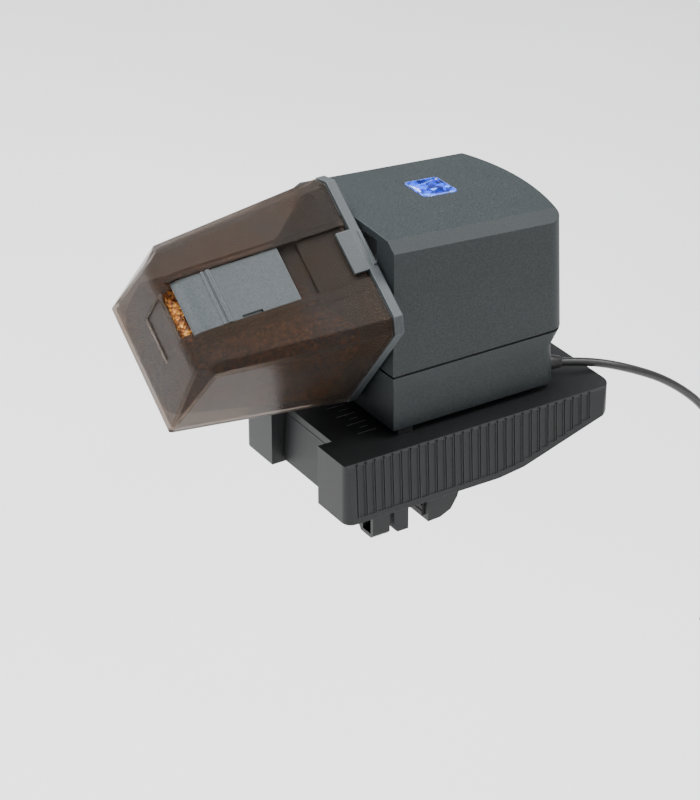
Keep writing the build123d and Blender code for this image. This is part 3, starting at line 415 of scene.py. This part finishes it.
def dress_cad(materials):
    """Give each CAD node the material of its slot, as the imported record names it."""
    slots = {entry["slot"] for entry in frame["record"]["materials"]}
    for name, piece in nodes.items():
        for place in piece.material_slots:
            wanted = place.material.name.split(".")[0] if place.material else ""
            place.material = materials[wanted if wanted in slots else "base_plastic"]


# ---- Cord, tie, strain relief and plug ----
def coil_slots():
    """Places in the bundle's section, as offsets outwards and along X, in the order of the cord's turns."""
    slots = []
    for column, count in enumerate(COIL_COLUMNS):
        along = (column - (len(COIL_COLUMNS) - 1) / 2) * COIL_PITCH
        rows = [(row - (count - 1) / 2) * COIL_PITCH for row in range(count)]
        if column % 2 == 0:
            rows.reverse()
        slots += [(out, along) for out in rows]
    last_out, last_along = slots[-1]
    return slots + [(last_out + COIL_PITCH, last_along)]


def coil_points():
    """The coil's turns: each keeps its place in the bundle, and changes to the next one away from the tie."""
    slots = coil_slots()
    turns = len(slots) - 1
    grow = 1 / math.cos(math.pi / POINTS_PER_TURN)
    points = []
    for turn in range(turns):
        change = 0.66 - 0.03 * turn
        for i in range(POINTS_PER_TURN):
            part = i / POINTS_PER_TURN
            share = min(1.0, max(0.0, (part - change) / 0.18))
            share = share * share * (3 - 2 * share)
            out = slots[turn][0] + share * (slots[turn + 1][0] - slots[turn][0])
            along = slots[turn][1] + share * (slots[turn + 1][1] - slots[turn][1])
            radius = (COIL_R + out) * (grow if 0 < turn * POINTS_PER_TURN + i else 1)
            angle = 2 * math.pi * part
            x, y, z = COIL_CENTRE
            points.append((x + along, y + radius * math.cos(angle), z - radius * math.sin(angle)))
    out, along = slots[-1]
    points.append((COIL_CENTRE[0] + along, COIL_CENTRE[1] + COIL_R + out, COIL_CENTRE[2]))
    return points


def make_cord(material):
    """The whole lead as one smooth line: out of the strain relief, down, round the coil and to the plug."""
    points = [Vector(p) * MM for p in CORD_ROUTE + coil_points() + CORD_TAIL]
    curve = bpy.data.curves.new("power_lead", "CURVE")
    curve.dimensions = "3D"
    curve.bevel_depth = CORD_D / 2 * MM
    curve.bevel_resolution = 4
    curve.resolution_u = 6
    curve.use_fill_caps = True
    spline = curve.splines.new("NURBS")
    spline.points.add(len(points) - 1)
    for place, point in zip(spline.points, points):
        place.co = (*point, 1.0)
    spline.order_u = 3
    spline.use_endpoint_u = True
    lead = bpy.data.objects.new("power_lead", curve)
    bpy.context.scene.collection.objects.link(lead)
    dress(lead, material, "housing")
    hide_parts("power_cord", "cord_coil", "cord_tail")
    return lead


def make_tie(material):
    """Soft strap round the coil: a flat band with rounded edges, drawn in a little, and its tab."""
    low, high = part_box("cord_tie")
    centre = (low + high) / 2
    inner = 7.15 * MM
    outer = (high.x - low.x) / 2
    rise = (high.z - low.z) / 2
    profile = [(-1, 0.0), (-1, 0.75), (-0.8, 1.0), (0.8, 1.0), (1, 0.75), (1, 0.0)]
    rings = []
    for level, swell in profile + [(0.0, -0.15)]:
        half = inner + (outer - inner) * swell
        radius = 3.2 * MM + (outer - inner) * swell
        z = centre.z + rise * level
        outline = rounded_square(half, half, radius)
        rings.append([(centre.x + a, centre.y + b, z) for a, b in outline])
    rings.append(rings[0])
    bm = loft(rings, closed=False)
    bmesh.ops.remove_doubles(bm, verts=bm.verts, dist=1e-6)
    tab = bmesh.ops.create_cube(bm, size=1.0)["verts"]
    bmesh.ops.scale(bm, verts=tab, vec=(7.5 * MM, 1.2 * MM, rise * 1.5))
    bmesh.ops.translate(bm, verts=tab, vec=(centre.x - 1.0 * MM, low.y + 0.4 * MM, centre.z))
    tab_edges = list({e for v in tab for e in v.link_edges})
    bmesh.ops.bevel(bm, geom=tab_edges, offset=0.4 * MM, segments=3, affect="EDGES")
    tie = add_mesh("cord_strap", bm, smooth=True)
    dress(tie, material, "housing")
    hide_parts("cord_tie")
    return tie


def make_strain_relief(material):
    """Smooth tapered boot with a small collar, held in the housing's end wall."""
    across = GLAND_AIM.cross(Vector((0, 0, 1))).normalized()
    up = across.cross(GLAND_AIM).normalized()
    profile = [(-5.0, 1.9), (-5.0, 2.55), (0.8, 2.55), (0.9, 3.2), (1.1, 3.35), (1.6, 3.3)]
    profile += [(GLAND_L - 0.5, 2.45), (GLAND_L, 2.25), (GLAND_L, 1.8)]
    steps = 32
    rings = []
    for along, radius in profile:
        ring = []
        for i in range(steps):
            angle = 2 * math.pi * i / steps
            side = across * math.cos(angle) + up * math.sin(angle)
            ring.append((GLAND + GLAND_AIM * along + side * radius) * MM)
        rings.append(ring)
    boot = add_mesh("strain_relief", loft(rings), smooth=True)
    boot.data.set_sharp_from_angle(angle=math.radians(35))
    dress(boot, material, "housing")
    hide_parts("cord_gland")
    return boot


def make_plug(material):
    """Overmoulded plug grip with a soft waist and a ringed neck."""
    low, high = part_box("plug_body")
    centre = (low + high) / 2
    neck = 7.0 * MM
    shoulder = high.z - neck
    half_x = 3.8 * MM
    half_y = 7.5 * MM
    grip = [
        (0.0, 1.0, 1.9),
        (0.5, 1.0, 2.0),
        (3.0, 0.93, 2.0),
        (7.0, 0.88, 2.0),
        (11.0, 0.93, 2.0),
        (13.2, 1.0, 2.0),
    ]
    ringed_neck = [(0.0, 3.5), (0.12, 3.0), (0.2, 2.7), (0.28, 3.1), (0.36, 3.1), (0.44, 2.5), (0.52, 2.9)]
    ringed_neck += [(0.6, 2.9), (0.68, 2.35), (0.76, 2.65), (0.84, 2.6), (0.92, 2.2), (1.0, 2.1)]
    rings = []
    for rise, wide, radius in grip:
        outline = rounded_square(half_x * wide, half_y * wide, radius * wide * MM)
        rings.append([(centre.x + a, centre.y + b, low.z + rise * MM) for a, b in outline])
    for share, radius in ringed_neck:
        outline = rounded_square(radius * MM, radius * MM, radius * 0.999 * MM)
        rings.append([(centre.x + a, centre.y + b, shoulder + share * neck) for a, b in outline])
    bm = loft(rings)
    grip_piece = add_mesh("plug_grip", bm, smooth=True)
    grip_piece.data.set_sharp_from_angle(angle=math.radians(40))
    dress(grip_piece, material, "housing")
    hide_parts("plug_body")
    return grip_piece


# ---- Button ----
def make_button(material):
    """Faceted square button: a rim and an irregular cut top that follows the roof's fall."""
    low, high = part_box("push_button")
    centre = (low + high) / 2
    top = high.z - 0.55 * MM
    side = 7.9
    corner = 2.0
    flange = 1.2
    levels = [
        (top - 5.0 * MM, side + flange, corner),
        (top - 4.0 * MM, side + flange, corner),
        (top - 4.0 * MM, side, corner),
        (top - 0.25 * MM, side, corner),
        (top + 0.05 * MM, side - 0.25, corner - 0.25),
        (top, side - 0.8, corner - 0.5),
        (top - 0.45 * MM, side - 1.5, corner - 0.9),
    ]
    rings = []
    for z, half, radius in levels:
        outline = rounded_square(half * MM, half * MM, radius * MM, steps=4)
        fall = ROOF_FALL if z > top - 1 * MM else 0.0
        rings.append([(centre.x + a, centre.y + b, z - a * fall) for a, b in outline])
    bm = loft(rings, closed=False)
    bm.faces.new([v for v in bm.verts][: len(rings[0])])
    bm.verts.ensure_lookup_table()
    rim = bm.verts[-len(rings[0]):]
    table = bm.faces.new(rim)
    bmesh.ops.triangulate(bm, faces=[table])
    cut = [f for f in bm.faces if all(v in set(rim) for v in f.verts)]
    bmesh.ops.delete(bm, geom=cut, context="FACES_ONLY")
    inner = facet_points(centre, top, side - 2.0)
    join_facets(bm, rim, inner)
    gem = add_mesh("gem_button", bm)
    dress(gem, material, "button")
    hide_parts("push_button")


def facet_points(centre, top, half):
    """Uneven grid of points inside the button's rim, at uneven depths."""
    draw = random.Random(11)
    count = 4
    points = []
    for row in range(count):
        for column in range(count):
            a = ((column + 0.5) / count * 2 - 1) * half + draw.uniform(-0.75, 0.75)
            b = ((row + 0.5) / count * 2 - 1) * half + draw.uniform(-0.75, 0.75)
            depth = 0.35 + draw.uniform(0.0, 1.15)
            z = top - (depth + a * ROOF_FALL) * MM
            points.append(Vector((centre.x + a * MM, centre.y + b * MM, z)))
    return points


def join_facets(bm, rim, inner):
    """Fill the rim with flat facets through the inner points."""
    places = [v.co.copy() for v in rim] + inner
    flat = [Vector((p.x, p.y)) * 1000 for p in places]
    border = [(i, (i + 1) % len(rim)) for i in range(len(rim))]
    _, _, faces, origins, _, _ = delaunay_2d_cdt(flat, border, [], 1, 1e-6)
    verts = []
    for origin in origins:
        index = origin[0]
        verts.append(rim[index] if index < len(rim) else bm.verts.new(places[index]))
    for face in faces:
        bm.faces.new([verts[i] for i in face])


def make_spring(material):
    """Wire coil under the button."""
    low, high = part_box("button_spring")
    centre = (low + high) / 2
    wire = 0.35 * MM
    radius = (high.x - low.x) / 2 - wire
    turns = 6.5
    per_turn = 20
    steps = int(turns * per_turn)
    sides = 8
    rings = []
    for i in range(steps + 1):
        angle = 2 * math.pi * i / per_turn
        share = i / steps
        eased = min(1.0, max(0.0, (share - 0.1) / 0.8))
        z = low.z + wire + eased * (high.z - low.z - 2 * wire)
        out = Vector((math.cos(angle), math.sin(angle), 0))
        middle = Vector((centre.x, centre.y, z)) + out * radius
        ring = []
        for k in range(sides):
            turn = 2 * math.pi * k / sides
            ring.append(middle + out * wire * math.cos(turn) + Vector((0, 0, wire * math.sin(turn))))
        rings.append(ring)
    spring = add_mesh("button_coil_spring", loft(rings), smooth=True)
    dress(spring, material, "housing")
    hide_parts("button_spring")
    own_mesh(spring)


# ---- Paint in the base's setting marks ----
def make_marks(material):
    """Pale paint in the engraved setting marks: four long and three short ones."""
    bm = bmesh.new()
    bars = [((-22.4, -14.0), -17.6 + 7.7 * i) for i in range(4)]
    bars += [((-19.0, -15.4), -13.75 + 7.7 * i) for i in range(3)]
    for (left, right), y in bars:
        bar = bmesh.ops.create_cube(bm, size=1.0)["verts"]
        bmesh.ops.scale(bm, verts=bar, vec=((right - left) * MM, 0.34 * MM, 0.2 * MM))
        bmesh.ops.translate(bm, verts=bar, vec=((left + right) / 2 * MM, y * MM, (BASE_H - 0.19) * MM))
    dress(add_mesh("mark_paint", bm), material, "base")


# ---- Food in the drum ----
def food_level(x, y):
    """Height of the food's surface in the part's frame, in millimetres: it falls away from the outlet."""
    ripple = 2.2 * noise.noise(Vector((x, y, 3.0)) * 0.09) + 0.8 * noise.noise(Vector((x, y, 9.0)) * 0.35)
    return FOOD_TOP - FOOD_SLOPE * (x - FOOD_TOP_X) + ripple


def make_food(material):
    """Heap of food that fills the drum up to its surface and reaches the outlet, with loose flakes on top."""
    inset = 2.7
    start = SHELL_X - 9.0
    end = SHELL_END_X + 2.9
    bm = bmesh.new()
    verts = []
    for x in (start, end):
        share = (SHELL_X - x) / (SHELL_X - SHELL_END_X)
        half = SHELL_HALF[0] + share * (SHELL_HALF[1] - SHELL_HALF[0]) - inset
        top = SHELL_TOP[0] + share * (SHELL_TOP[1] - SHELL_TOP[0]) - inset - 3.2
        bottom = SHELL_BOTTOM[0] + share * (SHELL_BOTTOM[1] - SHELL_BOTTOM[0]) + inset
        cut = 5.0
        for s in (-1, 1):
            pull = 5.5 if x == end else 0.0
            for y, z in ((half - cut, top), (half, top - cut), (half, bottom + cut), (half - cut, bottom)):
                verts.append(bm.verts.new((x, s * (y - pull * 0.5), z)))
    bmesh.ops.convex_hull(bm, input=verts)
    bm.transform(Matrix.Translation((0, AXIS_Y, AXIS_Z)) @ Matrix.Rotation(DRUM_TILT, 4, "X"))
    bmesh.ops.triangulate(bm, faces=bm.faces)
    bed = add_mesh("food_bed", bm)
    remesh = bed.modifiers.new("voxels", "REMESH")
    remesh.mode = "VOXEL"
    remesh.voxel_size = 1.0
    bpy.context.view_layer.update()
    filled = bpy.data.meshes.new_from_object(bed.evaluated_get(bpy.context.evaluated_depsgraph_get()))
    bed.modifiers.clear()
    bed.data = filled
    for vertex in bed.data.vertices:
        p = vertex.co
        level = food_level(p.x, p.y)
        if p.z > level:
            p.z = level
        rough = 0.35 * noise.noise(p * 0.9)
        vertex.co = p + Vector((0, 0, rough if p.z > level - 0.5 else 0))
    bed.data.transform(Matrix.Scale(MM, 4))
    for face in bed.data.polygons:
        face.use_smooth = True
    dress(bed, material, "drum")
    make_flakes(material)


def make_flakes(material):
    """Loose curled flakes on the food's surface, under the drum's outlet."""
    draw = random.Random(5)
    bm = bmesh.new()
    for _ in range(FLAKE_COUNT):
        local_x = draw.uniform(SHELL_END_X + 5.0, SHELL_X - 20.0)
        local_y = draw.uniform(-9.0, 9.0) if draw.random() < 0.7 else draw.uniform(-22.0, 15.0)
        share = (SHELL_X - local_x) / (SHELL_X - SHELL_END_X)
        roof = SHELL_TOP[0] + share * (SHELL_TOP[1] - SHELL_TOP[0]) - 5.6
        spot = in_drum((local_x, local_y, roof - draw.uniform(0.0, 1.2))) / MM
        surface = food_level(spot.x, spot.y)
        if spot.z > surface + 2.5:
            spot = Vector((spot.x, spot.y, surface + 0.3))
        size = draw.uniform(0.7, 1.5)
        count = draw.randint(5, 7)
        lean_x = Matrix.Rotation(draw.uniform(-FLAKE_LEAN, FLAKE_LEAN), 3, "X")
        lean_y = Matrix.Rotation(draw.uniform(-FLAKE_LEAN, FLAKE_LEAN), 3, "Y")
        twist = Matrix.Rotation(draw.uniform(0, 6.28), 3, "Z")
        tilt = Matrix.Rotation(DRUM_TILT, 3, "X") @ lean_x @ lean_y @ twist
        rings = []
        for level in (-FLAKE_T / 2, FLAKE_T / 2):
            ring = []
            for k in range(count):
                angle = 2 * math.pi * k / count
                reach = size * (0.75 + 0.25 * math.cos(k * 2.4))
                curl = 0.12 * reach * math.cos(2 * angle)
                edge = Vector((reach * math.cos(angle), reach * math.sin(angle), level + curl))
                ring.append((spot + tilt @ edge) * MM)
            rings.append([bm.verts.new(p) for p in ring])
        for i in range(count):
            j = (i + 1) % count
            bm.faces.new((rings[0][i], rings[0][j], rings[1][j], rings[1][i]))
        bm.faces.new(list(reversed(rings[0])))
        bm.faces.new(rings[1])
    dress(add_mesh("food_flakes", bm), material, "drum")


# ---- Studio ----
def make_floor():
    """Plain pale floor well below the feeder, which is held by its pane."""
    paint = Paint("studio_floor", Roughness=0.85)
    mottle = paint.noise(3.0, 2.0)
    paint.feed("Base Color", paint.ramp(mottle, [(0.3, (0.86, 0.86, 0.86)), (0.7, (0.9, 0.9, 0.9))]))
    bm = bmesh.new()
    bmesh.ops.create_grid(bm, x_segments=4, y_segments=4, size=12.0)
    bmesh.ops.translate(bm, verts=bm.verts, vec=(0, 0, FLOOR_Z))
    floor = add_mesh("studio_floor", bm)
    floor.data.materials.append(paint.material)


def add_light(name, direction, distance, size, power, colour=(1, 1, 1)):
    """Soft square light that faces the object from a direction."""
    light = bpy.data.lights.new(name, "AREA")
    light.shape = "SQUARE"
    light.size = size
    light.energy = power
    light.color = colour
    lamp = bpy.data.objects.new(name, light)
    bpy.context.scene.collection.objects.link(lamp)
    away = Vector(direction).normalized()
    lamp.location = VIEW_TARGET + away * distance
    lamp.rotation_mode = "QUATERNION"
    lamp.rotation_quaternion = away.to_track_quat("Z", "Y")


def make_studio():
    """Pale surroundings, three soft lights on the feeder, and a wide one high up for the floor."""
    world = bpy.data.worlds.new("studio")
    world.use_nodes = True
    world.node_tree.nodes["Background"].inputs["Color"].default_value = (0.95, 0.97, 1.0, 1)
    world.node_tree.nodes["Background"].inputs["Strength"].default_value = 0.4
    bpy.context.scene.world = world
    add_light("softbox_over", (0.465, -0.338, 0.824), 1.1, 0.5, 8.5)
    add_light("softbox_left", (-0.85, -0.35, 0.55), 1.2, 0.6, 0.5)
    add_light("softbox_front", (0.25, -1.0, 0.45), 1.4, 0.8, 4.4)
    add_light("softbox_behind", (-0.4, 0.45, 1.3), 2.3, 1.6, 185.0)


def make_camera():
    """Camera at the viewing angle, aimed at the middle of the view."""
    data = bpy.data.cameras.new("camera")
    data.lens = LENS
    data.sensor_width = 36.0
    camera = bpy.data.objects.new("camera", data)
    bpy.context.scene.collection.objects.link(camera)
    flat = math.cos(VIEW_ELEVATION)
    back = Vector((math.sin(VIEW_AZIMUTH) * flat, -math.cos(VIEW_AZIMUTH) * flat, math.sin(VIEW_ELEVATION)))
    camera.location = VIEW_TARGET + back * VIEW_DISTANCE
    camera.rotation_mode = "QUATERNION"
    camera.rotation_quaternion = (-back).to_track_quat("-Z", "Y")
    bpy.context.scene.camera = camera


# ---- The whole scene ----
make_camera()
make_studio()
make_floor()
paints = make_materials()
dress_cad(paints)
power_lead = make_cord(paints["cord_black"])
strap = make_tie(paints["tie_black"])
strain_relief = make_strain_relief(paints["cord_black"])
plug_grip = make_plug(paints["cord_black"])
make_button(paints["button_clear"])
make_spring(paints["spring_steel"])
make_marks(paints["mark_paint"])
make_food(paints["food"])
